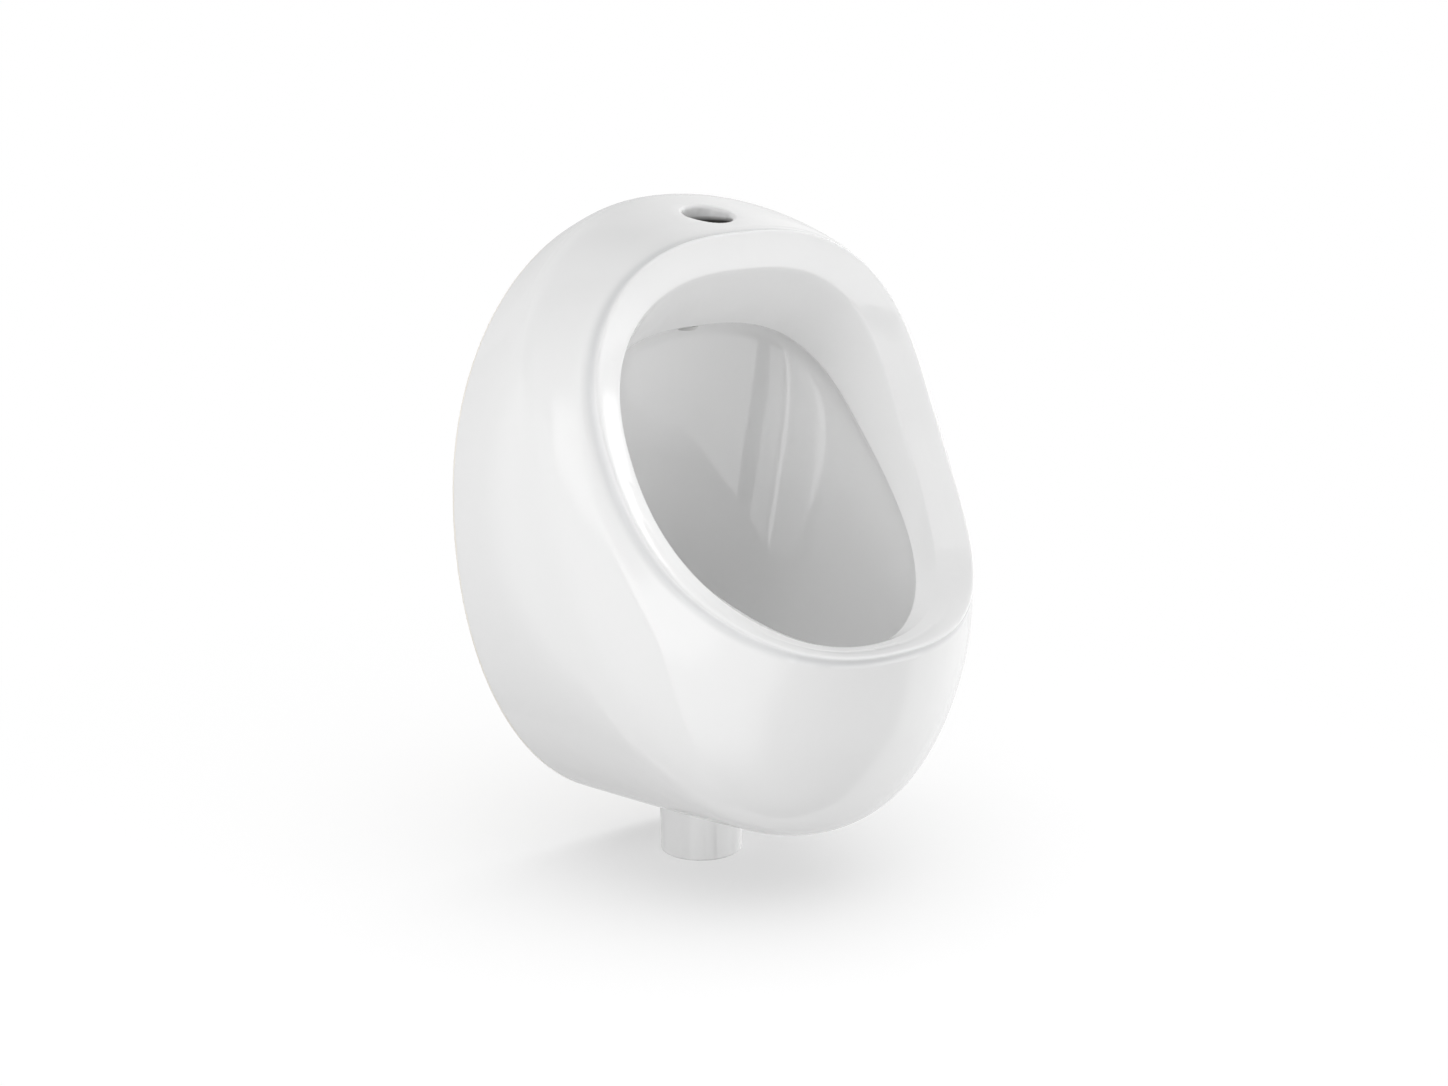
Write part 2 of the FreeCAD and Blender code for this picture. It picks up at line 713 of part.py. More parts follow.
def plug_profile():
    """Half outline of a nylon plug sunk flush in the wall, bored for the screw."""
    bore = size("screw_radius") + 0.05
    return [(bore, 0), (size("plug_radius"), 0), (size("plug_radius"), size("plug_length") - 6),
            (size("plug_radius") - 1.5, size("plug_length")), (bore, size("plug_length"))]


pieces = {
    "china_body": build_china(),
    "waste_strainer": build_strainer(),
    "flush_spreader": build_spreader(),
    "spreader_seal": build_sleeve(),
    "hanger_bracket_left": build_bracket("hanger_bracket_left", -size("hook_x")),
    "hanger_bracket_right": build_bracket("hanger_bracket_right", size("hook_x")),
    "hanger_saddle_left": build_saddle("hanger_saddle_left", -size("hook_x")),
    "hanger_saddle_right": build_saddle("hanger_saddle_right", size("hook_x")),
    "wall_screws": build_fasteners("wall_screws", screw_profile()),
    "screw_washers": build_fasteners("screw_washers", washer_profile()),
    "wall_plugs": build_fasteners("wall_plugs", plug_profile()),
}


# ---------------------------------------------------------------- checks, then one file a piece
doc.recompute()
for made in doc.Objects:
    if "Invalid" in made.State or "Error" in made.State:
        raise RuntimeError(f"{made.Name} failed: {made.State}")

os.makedirs("parts", exist_ok=True)
for name, made in pieces.items():
    made.Label = name
    shape = made.Shape
    if shape.isNull() or not shape.isValid() or not shape.Solids:
        raise RuntimeError(f"{name} has no valid solid")
    shape.exportStep(f"parts/{name}.step")
    box = shape.BoundBox
    print(f"{name:22s} {len(shape.Solids)} solids {shape.Volume / 1000:9.2f} cm3  "
          f"x {box.XMin:.1f}..{box.XMax:.1f}  y {box.YMin:.1f}..{box.YMax:.1f}  "
          f"z {box.ZMin:.1f}..{box.ZMax:.1f}")
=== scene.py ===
# %% [markdown]
# # A wall hung urinal in white vitreous china
#
# This lesson dresses a finished construction model. The model was drawn elsewhere, in
# millimetres, and it comes in here in metres with every piece already in its place. We never
# move its pieces. We copy, replace or finish them, light them like a product on a white table,
# and look at them through the same lens as the photograph.
#
# The frame's conventions: +Z is up, the user stands on the -Y side, y = 0 is the wall, x = 0 is
# the centre line and z = 0 is the lower edge of the waste spigot.

import math

import bmesh
import bpy
from mathutils import Matrix, Vector
from mathutils.geometry import intersect_point_line
from mathutils.kdtree import KDTree


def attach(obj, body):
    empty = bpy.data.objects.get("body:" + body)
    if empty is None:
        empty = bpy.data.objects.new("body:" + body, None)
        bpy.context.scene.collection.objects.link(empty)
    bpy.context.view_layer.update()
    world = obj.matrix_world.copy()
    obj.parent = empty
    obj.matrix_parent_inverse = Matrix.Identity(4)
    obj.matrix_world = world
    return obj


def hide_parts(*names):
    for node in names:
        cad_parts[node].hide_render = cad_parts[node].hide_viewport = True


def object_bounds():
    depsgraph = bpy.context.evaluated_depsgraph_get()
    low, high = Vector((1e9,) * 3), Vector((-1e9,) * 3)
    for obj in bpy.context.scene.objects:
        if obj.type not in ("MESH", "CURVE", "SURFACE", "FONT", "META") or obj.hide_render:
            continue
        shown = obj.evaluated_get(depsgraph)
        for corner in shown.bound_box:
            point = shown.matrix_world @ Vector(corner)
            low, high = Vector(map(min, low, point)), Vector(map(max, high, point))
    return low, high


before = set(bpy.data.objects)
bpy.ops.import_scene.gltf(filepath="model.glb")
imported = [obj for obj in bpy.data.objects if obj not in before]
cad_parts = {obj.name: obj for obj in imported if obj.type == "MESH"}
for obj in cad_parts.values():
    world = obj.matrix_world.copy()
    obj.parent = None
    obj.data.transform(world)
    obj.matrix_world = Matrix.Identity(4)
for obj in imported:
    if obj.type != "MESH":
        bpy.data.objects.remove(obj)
cad_low, cad_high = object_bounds()
MM = 0.001
print("nodes:", ", ".join(sorted(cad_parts)))
print("box in mm:", [round(v / MM) for v in cad_low], [round(v / MM) for v in cad_high])

# %% [markdown]
# ## The camera
#
# A camera can be recovered from a picture by fitting the outline of a known shape. Ours stands to
# the left of the object's front and looks slightly down on it. We aim it with two angles, a
# distance and a point that it looks at, because that is how a photographer thinks of it, and we
# build its matrix from three directions: right, up and back.

# %% Place the camera
PHOTO_WIDTH = 1448                       # pixels of the photograph
FOCAL_PIXELS = 2500                      # its focal length, in those pixels
SENSOR = 36.0                            # millimetres, a full-frame sensor
AZIMUTH = math.radians(-38.5)
ELEVATION = math.radians(14.08)
DISTANCE = 1.5389
AIM = Vector((0.0, -0.1272, 0.21745))
AIM_SHIFT = -0.0240                      # how far the aim stands to the camera's left

right = Vector((math.cos(AZIMUTH), math.sin(AZIMUTH), 0.0))
back = Vector((math.sin(AZIMUTH) * math.cos(ELEVATION),
               -math.cos(AZIMUTH) * math.cos(ELEVATION), math.sin(ELEVATION)))
up = back.cross(right)

lens = bpy.data.cameras.new("photo_camera")
lens.sensor_width = SENSOR
lens.lens = SENSOR * FOCAL_PIXELS / PHOTO_WIDTH
lens.clip_end = 50.0
camera = bpy.data.objects.new("photo_camera", lens)
bpy.context.scene.collection.objects.link(camera)
pose = Matrix((right, up, back)).transposed().to_4x4()
pose.translation = AIM + right * AIM_SHIFT + back * DISTANCE
camera.matrix_world = pose
bpy.context.scene.camera = camera
print(f"lens {lens.lens:.1f} mm, {DISTANCE:.2f} m away")

# %% [markdown]
# ## Helpers for node trees
#
# Material and geometry node trees are built from text here, so a few small helpers keep the
# cells short. `add` makes a node and fills its sockets. A value may be a plain number or colour,
# or the output socket of another node, and then the two are linked.

# %% Node helpers
def plug(tree, value, socket):
    """Link an output socket into an input socket, or write a plain value there."""
    if isinstance(value, bpy.types.NodeSocket):
        tree.links.new(value, socket)
    else:
        socket.default_value = value


def add(tree, kind, settings=None, **inputs):
    """Make a node, set its properties and fill inputs, by name or by number as i0, i1 and so on.

    Spaces in an input's name are written as underscores.
    """
    node = tree.nodes.new(kind)
    for name, value in (settings or {}).items():
        setattr(node, name, value)
    for name, value in inputs.items():
        key = int(name[1:]) if name[0] == "i" and name[1:].isdigit() else name.replace("_", " ")
        plug(tree, value, node.inputs[key])
    return node


def out(node, name=0):
    """One output socket of a node."""
    return node.outputs[name]


def maths(tree, operation, first, second=0.5, clamp=False):
    """A Math node's result."""
    node = add(tree, "ShaderNodeMath", {"operation": operation, "use_clamp": clamp},
               i0=first, i1=second)
    return node.outputs[0]


def times(tree, first, second):
    """The product of two values."""
    return maths(tree, "MULTIPLY", first, second)


def plus(tree, first, second):
    """The sum of two values."""
    return maths(tree, "ADD", first, second)


def minus(tree, first, second):
    """The first value less the second."""
    return maths(tree, "SUBTRACT", first, second)


def blend(tree, share, first, second):
    """A value between two others."""
    node = add(tree, "ShaderNodeMix", {"data_type": "FLOAT"}, i0=share, i2=first, i3=second)
    return out(node)


def blend_colour(tree, share, first, second):
    """A colour between two others."""
    node = add(tree, "ShaderNodeMix", {"data_type": "RGBA"})
    for index, value in ((0, share), (6, first), (7, second)):
        plug(tree, value, node.inputs[index])
    return node.outputs[2]


def spread(tree, value, low, high, to_low=0.0, to_high=1.0):
    """Map a range of values onto another, held at its ends."""
    node = add(tree, "ShaderNodeMapRange", i0=value, i1=low, i2=high, i3=to_low, i4=to_high)
    return node.outputs[0]


print("helpers ready")

# %% [markdown]
# ## Effects that several finishes share
#
# A node group is a small machine that we build once and place in many materials. Ours are:
#
# - **fine_grain**: the tiny mottling of moulded rubber and plastic, from noise at a real size.
# - **soft_waves**: the broad, shallow unevenness of a surface that was poured or glazed.
# - **draw_lines**: the fine parallel lines that rolling or brushing leaves in sheet metal.
# - **handling**: a mask of faint smears and dust, so that no finish is the same all over.
#
# Each group reads Object coordinates, so its pattern has a real size in metres, and puts out
# only a mask. The shader that uses it stays in the material.

# %% Build the shared effect groups
LINE_STRETCH = 0.02                      # a drawing line is 50 times as long as it is wide


def new_group(name, inputs):
    """An empty shader group with named numeric inputs and one Mask output."""
    tree = bpy.data.node_groups.new(name, "ShaderNodeTree")
    for label, default in inputs.items():
        socket = tree.interface.new_socket(label, in_out="INPUT", socket_type="NodeSocketFloat")
        socket.default_value = default
    tree.interface.new_socket("Mask", in_out="OUTPUT", socket_type="NodeSocketFloat")
    entry = tree.nodes.new("NodeGroupInput")
    leave = tree.nodes.new("NodeGroupOutput")
    place = add(tree, "ShaderNodeTexCoord").outputs["Object"]
    return tree, entry, leave, place


def give_mask(tree, entry, leave, noise):
    """Stretch a noise round its middle by the group's contrast, and put it out as the mask."""
    strong = times(tree, minus(tree, out(noise), 0.5), entry.outputs["Contrast"])
    plug(tree, maths(tree, "ADD", strong, 0.5, clamp=True), leave.inputs[0])


def noise_group(name, size, detail, roughness):
    """A group whose mask is noise of a given grain size in metres."""
    tree, entry, leave, place = new_group(name, {"Grain size": size, "Contrast": 1.0})
    scale = maths(tree, "DIVIDE", 1.0, entry.outputs["Grain size"])
    noise = add(tree, "ShaderNodeTexNoise", Vector=place, Scale=scale, Detail=detail,
                Roughness=roughness)
    give_mask(tree, entry, leave, noise)
    return tree


def lines_group(name):
    """A group whose mask is fine lines along X, of a given width in metres."""
    tree, entry, leave, place = new_group(name, {"Line width": 0.0003, "Contrast": 1.0})
    scale = maths(tree, "DIVIDE", 1.0, entry.outputs["Line width"])
    squeeze = add(tree, "ShaderNodeMapping", {"vector_type": "POINT"}, Vector=place,
                  Scale=(LINE_STRETCH, 1.0, 1.0))
    noise = add(tree, "ShaderNodeTexNoise", Vector=squeeze.outputs[0], Scale=scale, Detail=3.0)
    give_mask(tree, entry, leave, noise)
    return tree


GROUPS = {
    "fine_grain": noise_group("fine_grain", 0.0006, 2.0, 0.6),
    "soft_waves": noise_group("soft_waves", 0.035, 1.0, 0.4),
    "handling": noise_group("handling", 0.018, 5.0, 0.65),
    "draw_lines": lines_group("draw_lines"),
}
print("groups:", ", ".join(GROUPS))

# %% [markdown]
# ## Finishes
#
# A finish is a Principled shader whose colour, roughness and tiny relief vary a little over the
# surface. Numbers that are the same everywhere are typed straight on the shader, and only what
# varies comes in by a link.

# %% A pattern for making finishes
MASK_RANGE = (0.2, 0.8)                  # a noise mask hardly ever leaves this range


def group_mask(tree, name, **values):
    """Place a shared effect in a material and give its mask."""
    node = tree.nodes.new("ShaderNodeGroup")
    node.node_tree = GROUPS[name]
    for label, value in values.items():
        node.inputs[label.replace("_", " ")].default_value = value
    return node.outputs["Mask"]


def new_finish(name, **constants):
    """A material with an empty Principled shader; constants go on its own sockets."""
    material = bpy.data.materials.new(name)
    material.use_nodes = True
    tree = material.node_tree
    shader = tree.nodes["Principled BSDF"]
    for label, value in constants.items():
        shader.inputs[label.replace("_", " ")].default_value = value
    return material, tree, shader


def relief(tree, shader, height, depth):
    """Feed a height mask into the shader's normal, as relief of a given depth in metres."""
    bump = add(tree, "ShaderNodeBump", Strength=1.0, Distance=depth, Height=height)
    plug(tree, bump.outputs[0], shader.inputs["Normal"])


print("finish helpers ready")

# %% [markdown]
# ### Glazed china
#
# Vitreous china is a dense white body under a clear glass glaze. The body is very slightly warm
# where the glaze is thin and cooler where it pools, at random over the surface. The groove under
# the rim is greyed with painted shade. The glaze is smooth as glass but never quite flat: it runs
# a little in the kiln, so reflections waver. The land that meets the wall and the hollow behind it
# are left bare, so that the piece doesn't stick to the kiln shelf, and there the china is matt,
# cream and slightly gritty. The duct for the flush water is bare too, and its inside is painted
# near black as painted shade.
#
# One material holds all of this. Three masks are stored on the mesh as attributes when it is
# prepared below, and the shader reads them by name: **bare**, **duct**, and a third for the groove
# under the rim, which carries painted shade.

# %% China, glazed and bare
GLAZE_THIN = (0.806, 0.806, 0.804, 1.0)
GLAZE_POOLED = (0.790, 0.791, 0.792, 1.0)
# Painted shade: the grey that the glaze takes in the groove under the rim.
GROOVE_PAINTED_SHADE = (0.66, 0.665, 0.67, 1.0)
BARE_PALE = (0.80, 0.775, 0.725, 1.0)
BARE_DARK = (0.73, 0.695, 0.635, 1.0)
# Painted shade: the colour that the duct's inside turns to below its mouth.
DUCT_SHADE = (0.045, 0.043, 0.040, 1.0)
DUCT_DARK_FROM, DUCT_DARK_TO = 0.4118, 0.4088    # heights between which the duct gets dark
GLAZE_EDGE = 0.0022                      # how far the glaze stays off the wall plane
EDGE_WANDER, EDGE_BLUR = 0.0024, 0.0003  # how ragged and how soft that edge is
WAVE_SIZE, WAVE_DEPTH = 0.045, 0.00022   # the glaze's unevenness
GRAIN_SHARE = 0.3                        # the bare china's grit, as a share of that depth
SHINY, LESS_SHINY = 0.010, 0.025         # roughness of the glaze
BARE_ROUGHER = 0.6                       # how much rougher the bare china is


def stored(tree, name):
    """A mask that was stored on the mesh."""
    node = add(tree, "ShaderNodeAttribute", {"attribute_name": name})
    return out(node, "Fac")


def china_finish():
    """White china: wavering clear glaze, the bare land and hollow, painted shade in the rim's
    groove and painted shade inside the duct.
    """
    material, tree, shader = new_finish("glazed_china", IOR=1.52)
    waves = group_mask(tree, "soft_waves", Grain_size=WAVE_SIZE)
    pooled = group_mask(tree, "handling", Grain_size=0.07)
    grain = group_mask(tree, "fine_grain", Grain_size=0.0009)
    stains = group_mask(tree, "handling", Grain_size=0.03, Contrast=1.8)
    runs = group_mask(tree, "soft_waves", Grain_size=0.006)
    place = add(tree, "ShaderNodeSeparateXYZ",
                Vector=out(add(tree, "ShaderNodeTexCoord"), "Object"))
    ragged = plus(tree, times(tree, runs, EDGE_WANDER), out(place, "Y"))
    start = EDGE_WANDER / 2 - GLAZE_EDGE
    edge = spread(tree, ragged, start, start + EDGE_BLUR)
    bare = maths(tree, "MAXIMUM", edge, stored(tree, "bare"))
    depth = spread(tree, out(place, "Z"), DUCT_DARK_FROM, DUCT_DARK_TO)
    deep = times(tree, stored(tree, "duct"), depth)
    glaze = blend_colour(tree, pooled, GLAZE_THIN, GLAZE_POOLED)
    # Painted shade: the glaze in the groove under the rim is greyed.
    glaze = blend_colour(tree, stored(tree, "groove_painted_shade"), glaze, GROOVE_PAINTED_SHADE)
    biscuit = blend_colour(tree, stains, BARE_PALE, BARE_DARK)
    colour = blend_colour(tree, bare, glaze, biscuit)
    # Painted shade: the duct's inside goes near black below its mouth.
    plug(tree, blend_colour(tree, deep, colour, DUCT_SHADE), shader.inputs["Base Color"])
    gloss = spread(tree, pooled, *MASK_RANGE, SHINY, LESS_SHINY)
    unglazed = maths(tree, "MAXIMUM", bare, deep)
    rough = plus(tree, times(tree, unglazed, BARE_ROUGHER), gloss)
    plug(tree, rough, shader.inputs["Roughness"])
    bare_grain = times(tree, grain, times(tree, bare, GRAIN_SHARE))
    relief(tree, shader, plus(tree, waves, bare_grain), WAVE_DEPTH)
    return material


china = china_finish()
print("finish:", china.name)

# %% [markdown]
# ### Steel, rubber and plastics
#
# The grid over the waste is pressed stainless sheet, the hooks and screws are zinc plated, the
# pads and the sleeve are black rubber, and the spreader and the wall plugs are moulded. All metal
# here follows one pattern and all moulded stuff another, so two functions make these finishes from
# a few values each.

# %% Metal and moulded finishes
LINE_DEPTH = 0.000015                    # metres, the relief of the drawing lines


def metal_finish(name, light, dark, smooth, rough, line_width):
    """Bare or plated sheet metal with drawing lines and a few smears; line width in metres."""
    material, tree, shader = new_finish(name, Metallic=1.0)
    lines = group_mask(tree, "draw_lines", Line_width=line_width, Contrast=1.4)
    smears = group_mask(tree, "handling", Grain_size=0.012, Contrast=1.6)
    plug(tree, blend_colour(tree, smears, light, dark), shader.inputs["Base Color"])
    uneven = plus(tree, times(tree, lines, 0.6), times(tree, smears, 0.4))
    plug(tree, spread(tree, uneven, *MASK_RANGE, smooth, rough), shader.inputs["Roughness"])
    relief(tree, shader, lines, LINE_DEPTH)
    return material


def moulded_finish(name, light, dark, smooth, rough, depth):
    """Moulded rubber or plastic with a fine grain, its depth in metres, and a little dust."""
    material, tree, shader = new_finish(name, IOR=1.5)
    grain = group_mask(tree, "fine_grain", Grain_size=0.0005)
    dust = group_mask(tree, "handling", Grain_size=0.01, Contrast=1.3)
    plug(tree, blend_colour(tree, dust, light, dark), shader.inputs["Base Color"])
    plug(tree, spread(tree, dust, *MASK_RANGE, smooth, rough), shader.inputs["Roughness"])
    relief(tree, shader, grain, depth)
    return material


stainless = metal_finish("pressed_stainless", (0.66, 0.66, 0.65, 1.0), (0.55, 0.55, 0.54, 1.0),
                         0.16, 0.34, 0.00025)
zinc = metal_finish("zinc_plated_steel", (0.62, 0.64, 0.66, 1.0), (0.50, 0.50, 0.47, 1.0),
                    0.28, 0.48, 0.0004)
rubber = moulded_finish("black_rubber", (0.030, 0.030, 0.031, 1.0), (0.065, 0.063, 0.060, 1.0),
                        0.55, 0.8, 0.00004)
# Painted shade: the white spreader is made grey, as it sits in shade under the lip.
white_moulding_in_painted_shade = moulded_finish("white_moulding_in_painted_shade", (0.60, 0.60, 0.595, 1.0),
                                (0.52, 0.52, 0.51, 1.0), 0.25, 0.4, 0.00001)
nylon = moulded_finish("grey_nylon", (0.36, 0.37, 0.38, 1.0), (0.30, 0.31, 0.31, 1.0),
                       0.4, 0.6, 0.00002)
print("finishes:", ", ".join(m.name for m in (stainless, zinc, rubber, white_moulding_in_painted_shade, nylon)))

# %% [markdown]
# ## The china body
#
# The construction model's mesh is made of loose triangles, which would catch the light like cut
# glass. We take a copy, join the points that lie together, and let the shading run smoothly
# across every edge that isn't a real corner. That leaves the shape as it was drawn.

# %% Smooth the china
SAME_POINT = 0.00001                     # points closer than this are one point
REAL_CORNER = math.radians(35)


def smooth_but_corners(work):
    """Let the shading run over every edge that isn't a real corner."""
    for face in work.faces:
        face.smooth = True
    for edge in work.edges:
        edge.smooth = edge.is_manifold and edge.calc_face_angle(0.0) < REAL_CORNER


def smooth_copy(node, name):
    """A piece with a node's shape, its points merged and its shading smooth but for corners."""
    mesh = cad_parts[node].data.copy()
    mesh.name = name
    work = bmesh.new()
    work.from_mesh(mesh)
    bmesh.ops.remove_doubles(work, verts=work.verts, dist=SAME_POINT)
    smooth_but_corners(work)
    work.to_mesh(mesh)
    work.free()
    mesh.materials.clear()
    piece = bpy.data.objects.new(name, mesh)
    bpy.context.scene.collection.objects.link(piece)
    return piece


body = smooth_copy("china_body", "china_skin")
print(f"china: {len(body.data.polygons)} faces")

# %% [markdown]
# ### A crisper rim
#
# On the real china the rim is a narrow bead. Its crest is tight, a shallow groove runs just below
# it on the outside, and the line where the flat band turns into the throat is fine as well. The
# glaze shows such small forms as thin bright and dark lines. The construction model has them a
# little rounder, so we sharpen the copy. The crest and the throat line each follow a ring, a
# rounded oval in a tilted and bowed plane, given here by the same values as in the model.

# %% The rings of the rim
RING_STEPS = 720                         # points round a ring
BOW_SPAN = 150                           # millimetres at which a ring's bow reaches its value


def ring_line(y, z, tilt, half, up_reach, down_reach, top, foot, bow, sway):
    """Points round a ring, from its values in millimetres and degrees."""
    lean, rise = math.cos(math.radians(tilt)), math.sin(math.radians(tilt))
    line = []
    for step in range(RING_STEPS):
        turn = math.tau * step / RING_STEPS
        across, along = math.cos(turn), math.sin(turn)
        reach, power = (up_reach, top) if along >= 0 else (down_reach, foot)
        radius = (abs(across / half) ** power + abs(along / reach) ** power) ** (-1 / power)
        v = radius * along
        bend = bow * (v / BOW_SPAN) ** 2 + sway * (v / BOW_SPAN) ** 3
        line.append(Vector((radius * across, y + v * rise - bend * lean,
                            z + v * lean + bend * rise)) * MM)
    return line


CREST = ring_line(-142.0, 292.5, 25.8, 126.5, 118.5, 152.5, 2.55, 2.44, 40.0, -9.5)
BROW = ring_line(-128.5, 265.5, 23.5, 153.5, 172.5, 233.0, 2.48, 2.19, -4.0, -3.5)
THROAT_LINE = ring_line(-134.5, 285.0, 26.4, 105.0, 101.0, 140.0, 2.67, 2.28, 44.5, -3.0)
print(f"crest from {min(p.z for p in CREST) / MM:.0f} to {max(p.z for p in CREST) / MM:.0f} mm up")


def finder(line):
    """A search tree over the points of a ring."""
    tree = KDTree(len(line))
    for index, point in enumerate(line):
        tree.insert(point, index)
    tree.balance()
    return tree


def closest(tree, line, point):
    """The place on a ring that is nearest to a point, and its number round the ring."""
    _, index, _ = tree.find(point)
    before, after = line[index - 1], line[(index + 1) % len(line)]
    return intersect_point_line(point, before, after)[0], index


# %% [markdown]
# A mesh can only show a fine line where its points are close together. So the edges near the rim
# are halved first. A new point isn't put in the middle of its straight edge, which would leave
# flats, but on the smooth curve that the two ends' normals imply.

# %% Add points near the rim
ROUNDS = 3                               # how often the edges are halved
RIM_REACH = 13 * MM                      # how far from the crest or throat line points are added
LONGEST = 1.6 * MM                       # edges shorter than this are fine enough


def refine(work, trees, reach, longest):
    """Halve the long edges near some rings, with each new point on the rounded surface."""
    work.normal_update()
    near = {vert: min(tree.find(vert.co)[2] for tree in trees) < reach for vert in work.verts}
    long_edges = [edge for edge in work.edges
                  if edge.is_manifold and edge.calc_length() > longest
                  and near[edge.verts[0]] and near[edge.verts[1]]]
    places = []
    for edge in long_edges:
        first, second = edge.verts
        run = second.co - first.co
        bulge = second.normal * run.dot(second.normal) - first.normal * run.dot(first.normal)
        places.append((first.co + second.co) / 2 + (bulge / 8 if edge.smooth else Vector()))
    for edge, place in zip(long_edges, places):
        bmesh.utils.edge_split(edge, edge.verts[0], 0.5)[1].co = place
    bmesh.ops.triangulate(work, faces=[face for face in work.faces if len(face.verts) > 3])


trees = finder(CREST), finder(THROAT_LINE)
work = bmesh.new()
work.from_mesh(body.data)
for _ in range(ROUNDS):
    refine(work, trees, RIM_REACH, LONGEST)
print(f"china with a finer rim: {len(work.faces)} faces")

# %% [markdown]
# Now each point near a ring is pulled some way towards it, most at the ring itself, so the
# rounding there gets tighter. The groove pushes points in along their normals, where they lie a
# few millimetres below the crest on its outside.

# %% Sharpen the crest and the throat line
CREST_PULL, CREST_WIDTH = 0.50, 4.0 * MM         # share of the way to the ring, and its fading
THROAT_PULL, THROAT_WIDTH = 0.60, 4.0 * MM
GROOVE_DEPTH, GROOVE_BELOW, GROOVE_WIDTH = 0.9 * MM, 4.6 * MM, 2.4 * MM


def hump(distance, width):
    """A bell curve: 1 at no distance, fading over the width."""
    return math.exp(-(distance / width) ** 2)


# A mask of the groove under the crest, stored so that the finish can paint shade into it.
groove_painted_shade = work.verts.layers.float.new("groove_painted_shade")
work.normal_update()
moves = {}
for vert in work.verts:
    move = Vector()
    for tree, line, pull, width in ((trees[0], CREST, CREST_PULL, CREST_WIDTH),
                                    (trees[1], THROAT_LINE, THROAT_PULL, THROAT_WIDTH)):
        if tree.find(vert.co)[2] < RIM_REACH:
            target, index = closest(tree, line, vert.co)
            away = (vert.co - target).length
            move += (target - vert.co) * pull * hump(away, width)
            if line is CREST:
                down = (BROW[index] - CREST[index]).normalized()
                below = (vert.co - target).dot(down)
                groove = hump(below - GROOVE_BELOW, GROOVE_WIDTH)
                move -= vert.normal * GROOVE_DEPTH * groove
                vert[groove_painted_shade] = groove
    if move.length > 0:
        moves[vert] = move
for vert, move in moves.items():
    vert.co += move
    vert.co.y = max(vert.co.y, cad_low[1])
smooth_but_corners(work)
print(f"{len(moves)} points moved, by {max(m.length for m in moves.values()) / MM:.2f} mm at most")

# %% [markdown]
# The masks for the bare china and the duct belong to whole faces, so they are stored on the faces'
# corners, where they end sharply at an edge. The hollow is found by walking over the mesh from
# face to face without stepping on the land at the wall: the walk that never reaches the front of
# the bowl is the one inside the hollow.

# %% Mark the bare faces and the duct
LAND_DEPTH = 0.5 * MM
DUCT_AXIS = Vector((0.0, -72.0 * MM))    # where the duct stands, seen from above
DUCT_RADIUS, DUCT_BOTTOM = 16.0 * MM, 385 * MM

bare = work.loops.layers.float.new("bare")
duct = work.loops.layers.float.new("duct")
land = {face for face in work.faces if all(vert.co.y > -LAND_DEPTH for vert in face.verts)}
unseen = set(work.faces) - land
areas = []
while unseen:
    walk, area = [unseen.pop()], []
    while walk:
        face = walk.pop()
        area.append(face)
        for edge in face.edges:
            for other in edge.link_faces:
                if other in unseen:
                    unseen.remove(other)
                    walk.append(other)
    areas.append(area)
front = min(areas, key=lambda area: min(face.calc_center_median().y for face in area))
hollow = [face for area in areas if area is not front for face in area]
for face in list(land) + hollow:
    for loop in face.loops:
        loop[bare] = 1.0
ducted = [face for face in front if face.calc_center_median().z > DUCT_BOTTOM
          and (face.calc_center_median().xy - DUCT_AXIS).length < DUCT_RADIUS]
for face in ducted:
    for loop in face.loops:
        loop[duct] = 1.0
work.to_mesh(body.data)
work.free()
print(f"{len(areas)} areas, {len(land)} faces on the land, {len(hollow)} in the hollow,",
      f"{len(ducted)} in the duct")

# %% [markdown]
# The china takes the place of the model's plain mesh: it gets its finish, that mesh is hidden, and
# the china is attached to the moving body that carries it.

# %% Finish the china and put it on its body
body.data.materials.append(china)
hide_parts("china_body")
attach(body, "china")
print("china ready")

# %% [markdown]
# ## Pressed, moulded and cut pieces
#
# The hooks, their pads, the waste grid, the spreader and its sleeve have the right shapes already,
# but every real edge has a small radius that catches the light. We merge each copy, melt the
# triangles of its flat faces together, and let a Bevel modifier round whatever edge is left. The
# widths are those of the trade: sheet steel is barely deburred, rubber is rounder.

# %% Round the small pieces' edges
ROUNDED = {                              # finish, slot, body and edge radius in millimetres
    "waste_strainer": (stainless, "stainless", "strainer", 0.15),
    "flush_spreader": (white_moulding_in_painted_shade, "moulded_white", "china", 0.30),
    "spreader_seal": (rubber, "pad_rubber", "china", 0.20),
    "hanger_bracket_left": (zinc, "zinc_steel", "china", 0.35),
    "hanger_bracket_right": (zinc, "zinc_steel", "china", 0.35),
    "hanger_saddle_left": (rubber, "pad_rubber", "china", 0.45),
    "hanger_saddle_right": (rubber, "pad_rubber", "china", 0.45),
}
NEARLY_FLAT = math.radians(0.5)

for node, (finish, slot, carrier, radius) in ROUNDED.items():
    piece = smooth_copy(node, node + "_finished")
    work = bmesh.new()
    work.from_mesh(piece.data)
    bmesh.ops.dissolve_limit(work, angle_limit=NEARLY_FLAT, verts=work.verts,
                               edges=work.edges)
    work.to_mesh(piece.data)
    work.free()
    piece.data.materials.append(finish)
    edge_round = piece.modifiers.new("edge_round", "BEVEL")
    edge_round.width = radius * MM
    edge_round.segments = 2
    edge_round.limit_method = "ANGLE"
    edge_round.angle_limit = REAL_CORNER
    edge_round.harden_normals = True
    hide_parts(node)
    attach(piece, carrier)
print(f"{len(ROUNDED)} pieces with rounded edges")

